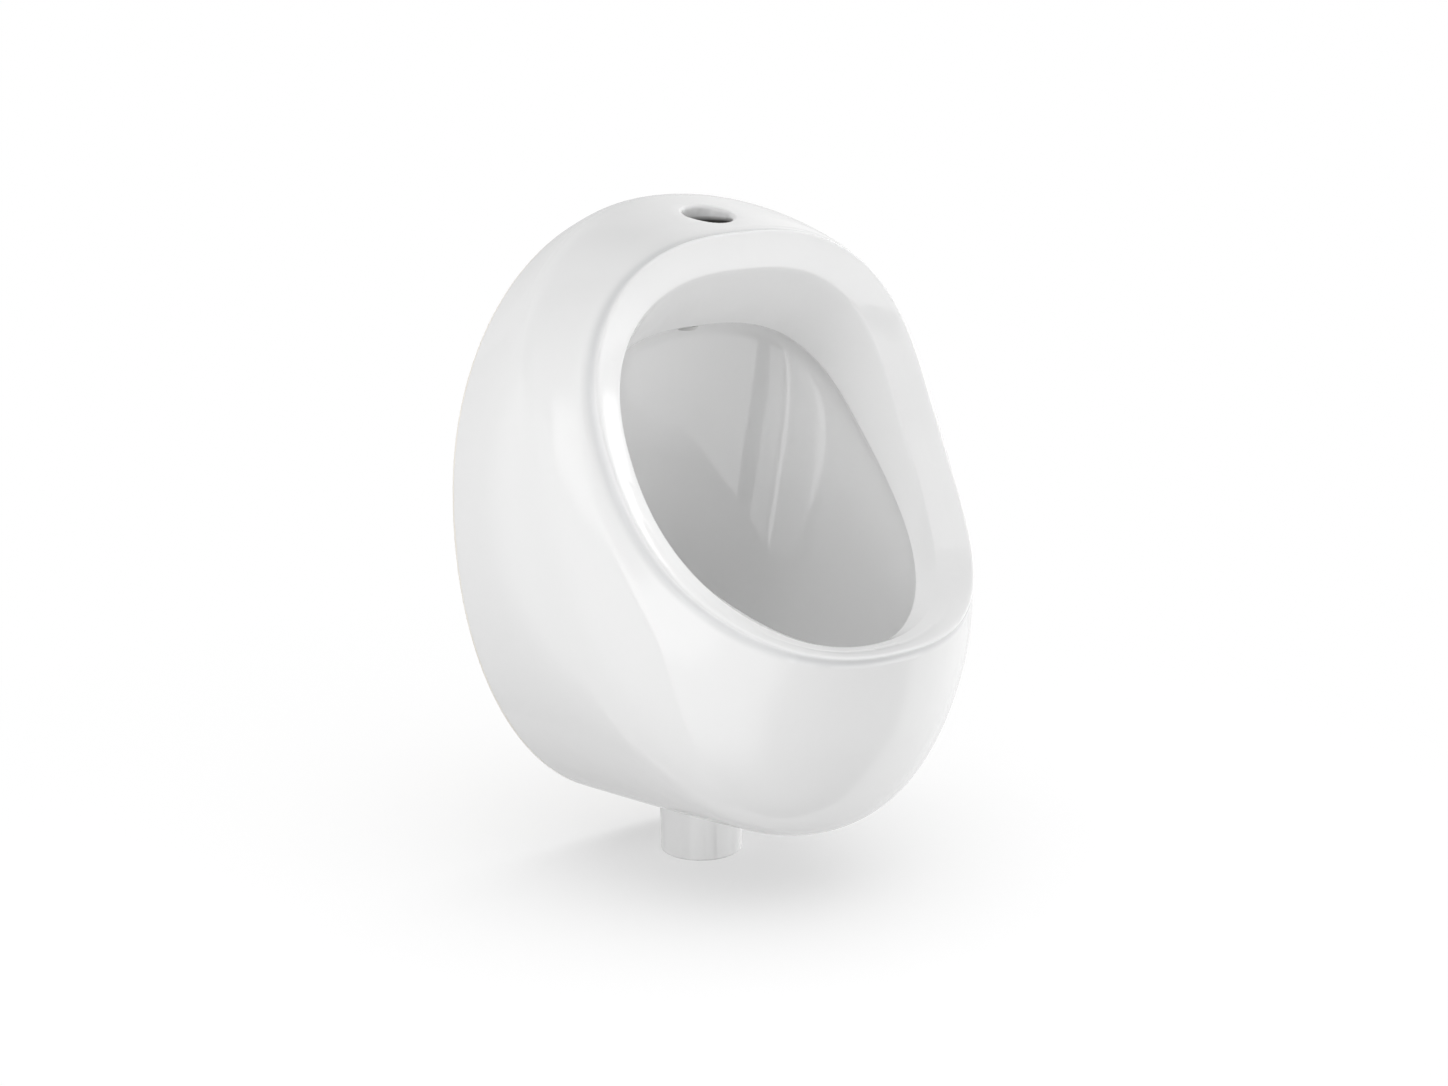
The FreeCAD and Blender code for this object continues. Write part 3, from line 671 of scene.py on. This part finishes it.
# %% [markdown]
# ## Fasteners
#
# Four wall screws with washers hold the hooks, each in a nylon plug sunk in the wall. Four equal
# pieces of each kind are a task for Geometry Nodes: one tree makes one turned piece and puts a
# copy at every hole. A turned piece follows a rule. We start from a flat grid. One of its sides
# becomes the turn round the axis, and the other the walk along the outline, and a Set Position
# node wraps the grid up by that rule. Small extra rules then cut the thread, the hexagon of the
# head, and the plug's barbs and slits.

# %% Geometry node helpers
HOOK_SPACING, SCREW_SPACING = 100 * MM, 28 * MM
SCREW_CENTRE = Vector((0.0, 0.0, 336 * MM))


def start_turned(name, sizes, around, rows):
    """A tree with named sizes and a grid, giving the turn and the walk along the outline."""
    tree = bpy.data.node_groups.new(name, "GeometryNodeTree")
    tree.interface.new_socket("Geometry", in_out="OUTPUT", socket_type="NodeSocketGeometry")
    for label, value in sizes.items():
        socket = tree.interface.new_socket(label, in_out="INPUT", socket_type="NodeSocketFloat")
        socket.default_value = value
    tree.interface.new_socket("Finish", in_out="INPUT", socket_type="NodeSocketMaterial")
    entry = tree.nodes.new("NodeGroupInput")
    grid = add(tree, "GeometryNodeMeshGrid", Size_X=1.0, Size_Y=1.0, Vertices_X=around + 1,
               Vertices_Y=rows + 1)
    place = add(tree, "ShaderNodeSeparateXYZ",
                Vector=tree.nodes.new("GeometryNodeInputPosition").outputs[0])
    turn = plus(tree, out(place, "X"), 0.5)
    walk = plus(tree, out(place, "Y"), 0.5)
    return tree, entry, grid, turn, walk


def end_turned(tree, entry, grid, turn, radius, along):
    """Wrap the grid round the Y axis, put a copy at each wall screw, and give its finish."""
    angle = times(tree, turn, math.tau)
    wrapped = add(tree, "ShaderNodeCombineXYZ", Y=along,
                  X=times(tree, radius, maths(tree, "COSINE", angle)),
                  Z=times(tree, radius, maths(tree, "SINE", angle)))
    shaped = add(tree, "GeometryNodeSetPosition", Geometry=out(grid), Position=out(wrapped))
    closed = add(tree, "GeometryNodeMergeByDistance", Geometry=out(shaped),
                 Distance=SAME_POINT / 2)
    holes = add(tree, "GeometryNodeMeshGrid", Size_X=HOOK_SPACING, Size_Y=SCREW_SPACING,
                Vertices_X=2, Vertices_Y=2)
    upright = add(tree, "GeometryNodeTransform", Geometry=out(holes),
                  Translation=SCREW_CENTRE, Rotation=(math.pi / 2, 0, 0))
    four = add(tree, "GeometryNodeInstanceOnPoints", Points=out(upright), Instance=out(closed))
    real = add(tree, "GeometryNodeRealizeInstances", Geometry=out(four))
    finished = add(tree, "GeometryNodeSetMaterial", Geometry=out(real),
                   Material=out(entry, "Finish"))
    add(tree, "NodeGroupOutput", i0=out(finished))


def made_by_nodes(name, tree, finish):
    """Run a geometry tree once and keep its result as a plain mesh piece."""
    mould = bpy.data.objects.new(name + "_mould", bpy.data.meshes.new(name + "_mould"))
    bpy.context.scene.collection.objects.link(mould)
    modifier = mould.modifiers.new("shape", "NODES")
    modifier.node_group = tree
    for socket in tree.interface.items_tree:
        if socket.in_out == "INPUT" and socket.socket_type == "NodeSocketMaterial":
            modifier[socket.identifier] = finish
    seen = bpy.context.evaluated_depsgraph_get()
    mesh = bpy.data.meshes.new_from_object(mould.evaluated_get(seen), depsgraph=seen)
    bpy.data.objects.remove(mould)
    work = bmesh.new()
    work.from_mesh(mesh)
    bmesh.ops.recalc_face_normals(work, faces=work.faces)
    smooth_but_corners(work)
    work.to_mesh(mesh)
    work.free()
    mesh.name = name
    piece = bpy.data.objects.new(name, mesh)
    bpy.context.scene.collection.objects.link(piece)
    print(f"{name}: {len(mesh.polygons)} faces")
    return piece


print("ready to turn pieces for holes", HOOK_SPACING / MM, "by", SCREW_SPACING / MM, "mm apart")

# %% [markdown]
# ### Screws
#
# The outline starts at the middle of the head, goes out, back under the head, along the shank and
# in to the point. The hexagon comes from the head's radius: on a flat, the radius is the distance
# to the flat divided by the cosine of the angle from its middle. The thread is a wave that runs
# along the shank and round it at once. The marks say at which share of the walk each stretch of
# the outline ends.

# %% Wall screws
TOP_END, CHAMFER_END, SIDE_END, UNDER_END, SHANK_END = 0.05, 0.07, 0.10, 0.12, 0.94
THREAD_FROM, THREAD_TO, RUN_OUT = 0.20, 0.93, 0.02
TOP_SHARE = 0.88                         # the head's flat top, as a share of its radius
CHAMFER_SHARE = 0.2                      # the chamfer's height, as a share of the head's
SIDES = 6

tree, entry, grid, turn, walk = start_turned("hexagon_screw", {
    "Head radius": 5.0 * MM, "Head height": 4.0 * MM, "Under head": -4.6 * MM,
    "Shank radius": 3.0 * MM, "Length": 50.0 * MM, "Point": 4.0 * MM, "Pitch": 2.6 * MM,
    "Thread depth": 0.6 * MM}, around=36, rows=150)
size = entry.outputs
side = maths(tree, "FRACT", times(tree, turn, float(SIDES)))
off_middle = times(tree, minus(tree, side, 0.5), math.tau / SIDES)
to_flat = times(tree, size["Head radius"], math.cos(math.pi / SIDES))
hexagon = maths(tree, "DIVIDE", to_flat, maths(tree, "COSINE", off_middle))
across_top = times(tree, hexagon, spread(tree, walk, 0.0, TOP_END, 0.0, TOP_SHARE))
chamfer = spread(tree, walk, TOP_END, CHAMFER_END)
head = plus(tree, across_top, times(tree, times(tree, hexagon, 1 - TOP_SHARE), chamfer))
shank = times(tree, size["Shank radius"], minus(tree, 1.0, spread(tree, walk, SHANK_END, 1.0)))
core = blend(tree, spread(tree, walk, SIDE_END, UNDER_END), head, shank)

top = minus(tree, size["Under head"], size["Head height"])
down_chamfer = times(tree, chamfer, CHAMFER_SHARE)
down_side = times(tree, spread(tree, walk, CHAMFER_END, SIDE_END), 1 - CHAMFER_SHARE)
down_head = times(tree, size["Head height"], plus(tree, down_chamfer, down_side))
plain_run = minus(tree, size["Length"], size["Point"])
down_shank = times(tree, plain_run, spread(tree, walk, UNDER_END, SHANK_END))
down_point = times(tree, size["Point"], spread(tree, walk, SHANK_END, 1.0))
along = plus(tree, plus(tree, top, down_head), plus(tree, down_shank, down_point))

phase = minus(tree, maths(tree, "DIVIDE", along, size["Pitch"]), turn)
wave = maths(tree, "PINGPONG", phase, 0.5)
threaded = times(tree, spread(tree, walk, THREAD_FROM, THREAD_FROM + RUN_OUT),
                 minus(tree, 1.0, spread(tree, walk, THREAD_TO, THREAD_TO + RUN_OUT)))
cut = times(tree, times(tree, size["Thread depth"], 2.0), times(tree, wave, threaded))
end_turned(tree, entry, grid, turn, minus(tree, core, cut), along)
screws = made_by_nodes("wall_screws_finished", tree, zinc)
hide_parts("wall_screws")
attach(screws, "china")

# %% [markdown]
# ### Washers
#
# A stamped washer has a slightly rounded section. A rounded rectangle is a circle whose sine and
# cosine are raised to a small power, so its walk goes once round that section.

# %% Washers
tree, entry, grid, turn, walk = start_turned("stamped_washer", {
    "Middle radius": 5.65 * MM, "Half width": 2.35 * MM, "Middle": -3.8 * MM,
    "Half thickness": 0.8 * MM, "Squareness": 0.22}, around=48, rows=40)
size = entry.outputs


def squared(tree, wave, power):
    """A sine or cosine pushed towards a square wave, its sign kept."""
    strength = maths(tree, "POWER", maths(tree, "ABSOLUTE", wave), power)
    return times(tree, maths(tree, "SIGN", wave), strength)


lap = times(tree, walk, math.tau)
across = squared(tree, maths(tree, "COSINE", lap), size["Squareness"])
through = squared(tree, maths(tree, "SINE", lap), size["Squareness"])
radius = plus(tree, size["Middle radius"], times(tree, across, size["Half width"]))
along = plus(tree, size["Middle"], times(tree, through, size["Half thickness"]))
end_turned(tree, entry, grid, turn, radius, along)
washers = made_by_nodes("screw_washers_finished", tree, zinc)
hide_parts("screw_washers")
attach(washers, "china")

# %% [markdown]
# ### Wall plugs
#
# A nylon plug is a sleeve with barbs that grip the wall and two slits that let it spread. The walk
# goes over its front, along its outside, over its far end and back along its bore. The barbs are a
# saw wave along the outside, and a slit is cut wherever the turn is close to two opposite angles.

# %% Wall plugs
FRONT_END, OUTSIDE_END, FAR_END = 0.02, 0.58, 0.60
BARBS_FROM, BARBS_TO, SLIT_FROM = 0.08, 0.50, 0.11
SHARP = 0.01                             # the share of the walk over which the barbs set in
SLIT_TURN = 0.022                        # half a slit's width, as a share of the turn

tree, entry, grid, turn, walk = start_turned("barbed_plug", {
    "Radius": 5.0 * MM, "Bore": 3.05 * MM, "Length": 48.0 * MM, "Taper": 1.5 * MM,
    "Barb spacing": 3.4 * MM, "Barb depth": 0.75 * MM, "Slit depth": 1.6 * MM},
    around=72, rows=170)
size = entry.outputs
wall = minus(tree, size["Radius"], size["Bore"])
standing = minus(tree, spread(tree, walk, 0.0, FRONT_END),
                 spread(tree, walk, OUTSIDE_END, FAR_END))
reached = minus(tree, spread(tree, walk, FRONT_END, OUTSIDE_END),
                spread(tree, walk, FAR_END, 1.0))
along = times(tree, size["Length"], reached)
barb = maths(tree, "FRACT", maths(tree, "DIVIDE", along, size["Barb spacing"]))
barbed = times(tree, spread(tree, walk, BARBS_FROM, BARBS_FROM + SHARP),
               minus(tree, 1.0, spread(tree, walk, BARBS_TO, BARBS_TO + SHARP)))
barb_cut = times(tree, times(tree, barb, size["Barb depth"]), barbed)
taper = times(tree, size["Taper"], spread(tree, walk, BARBS_TO + SHARP, OUTSIDE_END))
beside = maths(tree, "PINGPONG", turn, 0.25)
slit = times(tree, maths(tree, "LESS_THAN", beside, SLIT_TURN),
             maths(tree, "GREATER_THAN", walk, SLIT_FROM))
deepest = maths(tree, "MAXIMUM", plus(tree, barb_cut, taper),
                times(tree, size["Slit depth"], slit))
radius = plus(tree, size["Bore"], times(tree, minus(tree, wall, deepest), standing))
end_turned(tree, entry, grid, turn, radius, along)
plugs = made_by_nodes("wall_plugs_finished", tree, nylon)
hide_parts("wall_plugs")
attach(plugs, "china")

# %% [markdown]
# ## Floor
#
# A product on white needs a floor that reads as white yet keeps the object's shadow. Real light
# never makes a floor evenly white, so a retoucher lightens it. We do the same in the material: for
# the camera, the lit floor is mixed with plain white, more and more with the distance. Everything
# else sees ordinary matt paint, so the floor still throws soft light up onto the china.

# %% White table
WHITE = (1.0, 1.0, 1.0, 1.0)
FLOOR_PAINT = (0.74, 0.74, 0.74, 1.0)
FLOOR_BOUNCE = (0.42, 0.42, 0.42, 1.0)   # how pale the floor is to the light it throws back
FLOOR_HALF = 4.0                         # metres from the object to the floor's edge
NEAR_WHITE = 0.55                        # share of plain white close to the object
FADE_FROM, FADE_TO = 0.10, 0.60          # metres over which the floor turns all white


def camera_rays(tree):
    """1 for what the camera, a mirror or a clear glass looks at, 0 for light on matt surfaces."""
    path = add(tree, "ShaderNodeLightPath")
    seen = maths(tree, "MAXIMUM", out(path, "Is Camera Ray"), out(path, "Is Glossy Ray"))
    return maths(tree, "MAXIMUM", seen, out(path, "Is Transmission Ray"))


floor_mesh = bpy.data.meshes.new("floor")
floor_mesh.from_pydata([(-FLOOR_HALF, -FLOOR_HALF, 0), (FLOOR_HALF, -FLOOR_HALF, 0),
                        (FLOOR_HALF, FLOOR_HALF, 0), (-FLOOR_HALF, FLOOR_HALF, 0)],
                       [], [(0, 1, 2, 3)])
floor = bpy.data.objects.new("floor", floor_mesh)
bpy.context.scene.collection.objects.link(floor)
table = bpy.data.materials.new("white_table")
table.use_nodes = True
tree = table.node_tree
tree.nodes.clear()
seen = camera_rays(tree)
paint = add(tree, "ShaderNodeBsdfDiffuse",
            Color=blend_colour(tree, seen, FLOOR_BOUNCE, FLOOR_PAINT))
plain_white = add(tree, "ShaderNodeEmission", Color=WHITE, Strength=1.0)
spot = add(tree, "ShaderNodeVectorMath", {"operation": "LENGTH"},
           i0=out(add(tree, "ShaderNodeTexCoord"), "Object"))
far = spread(tree, out(spot, "Value"), FADE_FROM, FADE_TO, NEAR_WHITE, 1.0)
mixed = add(tree, "ShaderNodeMixShader", i0=times(tree, far, seen), i1=out(paint),
            i2=out(plain_white))
add(tree, "ShaderNodeOutputMaterial", i0=out(mixed))
floor_mesh.materials.append(table)
floor.visible_glossy = False             # the glaze mirrors the room below instead
print("floor ready")

# %% [markdown]
# ## The room that the glaze mirrors
#
# White china has almost no colour of its own, so its shape is read from what it mirrors. A
# photographer surrounds it with pale walls, bright soft boxes and dark cards. We paint these into
# the world as soft-edged rectangles, each given by two azimuths, two elevations, how wide its
# edges fade, and its level, where 1 is white. Azimuth 0 is in front of the object and grows to its
# right. Only mirrored rays see them: the camera sees plain white, and matt surfaces get a little
# even light.

# %% Paint the room
MATT_LEVEL = 0.39                        # what the room gives to matt surfaces
PALE_WALL = 0.88                         # the wall behind the object, and all else
ROOM = {                                 # azimuths, elevations and fade in degrees, then level
    "ceiling": (-200, 200, 34, 120, 30, 0.40),
    "low_left": (-140, -80, -120, 14, 30, 0.45),
    "floor_in_front": (-76, 62, -120, -24, 12, 0.10),
    "table_edge": (-50, 62, -26, -4, 6, 0.72),
    "behind_left": (-200, -158, -60, 40, 10, 0.60),
    "behind_right": (140, 200, -60, 40, 12, 0.70),
    "dark_left": (-158, -84, 8, 120, 16, 0.06),
    "right_wall": (8, 138, 10, 60, 24, 1.30),
    "overhead": (-48, 75, 38, 120, 20, 1.15),
    "low_box": (-90, -26, -55, -6, 24, 1.40),
    "left_box": (-82, -54, -18, 12, 10, 2.30),
    "left_gap": (-125, -71, -60, 14, 0.6, 0.45),
    "left_shelf": (-95, -58, 8, 26, 8, 1.70),
    "upper_left_box": (-68, -30, 10, 44, 12, 0.95),
    "low_right_box": (52, 72, -20, 4, 8, 1.70),
    "mouth_glow": (7, 60, -30, 8, 2, 1.60),
    "dark_front": (28, 54, -12, 10, 10, 0.70),
    "mouth_gap": (-14, -2, -30, 8, 1, 1.20),
    "strip_box": (-22, -18, -30, 6, 1, 2.60),
    "dark_card": (-2, 8, -30, 8, 0.5, 0.0),
    "right_box": (80, 104, 2, 29, 2, 2.20),
}

world = bpy.data.worlds.new("white_room")
bpy.context.scene.world = world
world.use_nodes = True
tree = world.node_tree
tree.nodes.clear()
way = add(tree, "ShaderNodeSeparateXYZ",
          Vector=out(add(tree, "ShaderNodeTexCoord"), "Generated"))
forward = times(tree, out(way, "Y"), -1.0)
azimuth = maths(tree, "DEGREES", maths(tree, "ARCTAN2", out(way, "X"), forward))
elevation = maths(tree, "DEGREES", maths(tree, "ARCSINE", out(way, "Z")))


def band(tree, angle, low, high, fade):
    """1 between two angles, falling smoothly to 0 on both sides."""
    rise = spread(tree, angle, low - fade / 2, low + fade / 2)
    fall = spread(tree, angle, high - fade / 2, high + fade / 2, 1.0, 0.0)
    for step in (rise, fall):
        step.node.interpolation_type = "SMOOTHSTEP"
    return times(tree, rise, fall)


room = PALE_WALL
for left, right_edge, bottom, top, fade, level in ROOM.values():
    inside = times(tree, band(tree, azimuth, left, right_edge, fade),
                   band(tree, elevation, bottom, top, fade))
    room = blend(tree, inside, room, level)
path = add(tree, "ShaderNodeLightPath")
matt_or_mirrored = blend(tree, camera_rays(tree), MATT_LEVEL, room)
sky_level = blend(tree, out(path, "Is Camera Ray"), matt_or_mirrored, 1.0)
sky = add(tree, "ShaderNodeBackground", Color=WHITE, Strength=sky_level)
add(tree, "ShaderNodeOutputWorld", i0=out(sky))
print("room:", ", ".join(ROOM))

# %% [markdown]
# ## Lamps
#
# The light itself comes from large soft boxes all round the object, stronger from its right, so
# that there are no hard shadows. Area lamps do this. Their mirror images are the painted boxes
# above, so the lamps themselves are hidden from mirrored rays and from the camera. The photograph
# has one soft shadow straight below the object and none to its side. Light linking gives us that:
# the side lamps pass the floor by, so two of them can even shine up from below it, and one lamp
# overhead lights the floor alone.

# %% Hang the lamps
LAMPS = {                                # azimuth, elevation, distance, width, height, watts
    "left_fill": (-82, 8, 2.2, 1.8, 1.0, 24),
    "left_high": (-60, 48, 2.2, 1.2, 1.0, 9.5),
    "front_low": (-5, -12, 2.2, 1.2, 1.0, 5.5),
    "right_low": (42, -12, 2.2, 1.4, 1.2, 14),
    "right_fill": (80, 12, 2.2, 1.4, 1.0, 20),
    "right_high": (75, 48, 2.2, 1.6, 1.0, 15.5),
    "back": (180, 15, 2.2, 1.6, 1.2, 16),
    "floor_light": (-20, 82, 1.6, 3.0, 3.0, 66),
}
LAMP_CENTRE = Vector((0.0, -0.12, 0.2))


def floor_link(name, state):
    """A set for light linking that holds the floor, to be included or left out."""
    members = bpy.data.collections.new(name)
    members.objects.link(floor)
    members.collection_objects[0].light_linking.link_state = state
    return members


without_floor = floor_link("all_but_the_floor", "EXCLUDE")
floor_alone = floor_link("floor_alone", "INCLUDE")
for name, (side, height, reach, wide, tall, watts) in LAMPS.items():
    light = bpy.data.lights.new(name, "AREA")
    light.shape = "RECTANGLE"
    light.size, light.size_y = wide, tall
    light.energy = watts
    lamp = bpy.data.objects.new(name, light)
    bpy.context.scene.collection.objects.link(lamp)
    a, e = math.radians(side), math.radians(height)
    towards = Vector((math.sin(a) * math.cos(e), -math.cos(a) * math.cos(e), math.sin(e)))
    lamp.location = LAMP_CENTRE + towards * reach
    lamp.rotation_mode = "QUATERNION"
    lamp.rotation_quaternion = (-towards).to_track_quat("-Z", "Y")
    lamp.visible_camera = False
    lamp.visible_glossy = False
    if name == "floor_light":
        lamp.light_linking.receiver_collection = floor_alone
    else:
        lamp.light_linking.receiver_collection = without_floor
        lamp.light_linking.blocker_collection = without_floor
bpy.context.scene.view_settings.view_transform = "Standard"
print("lamps:", ", ".join(LAMPS))
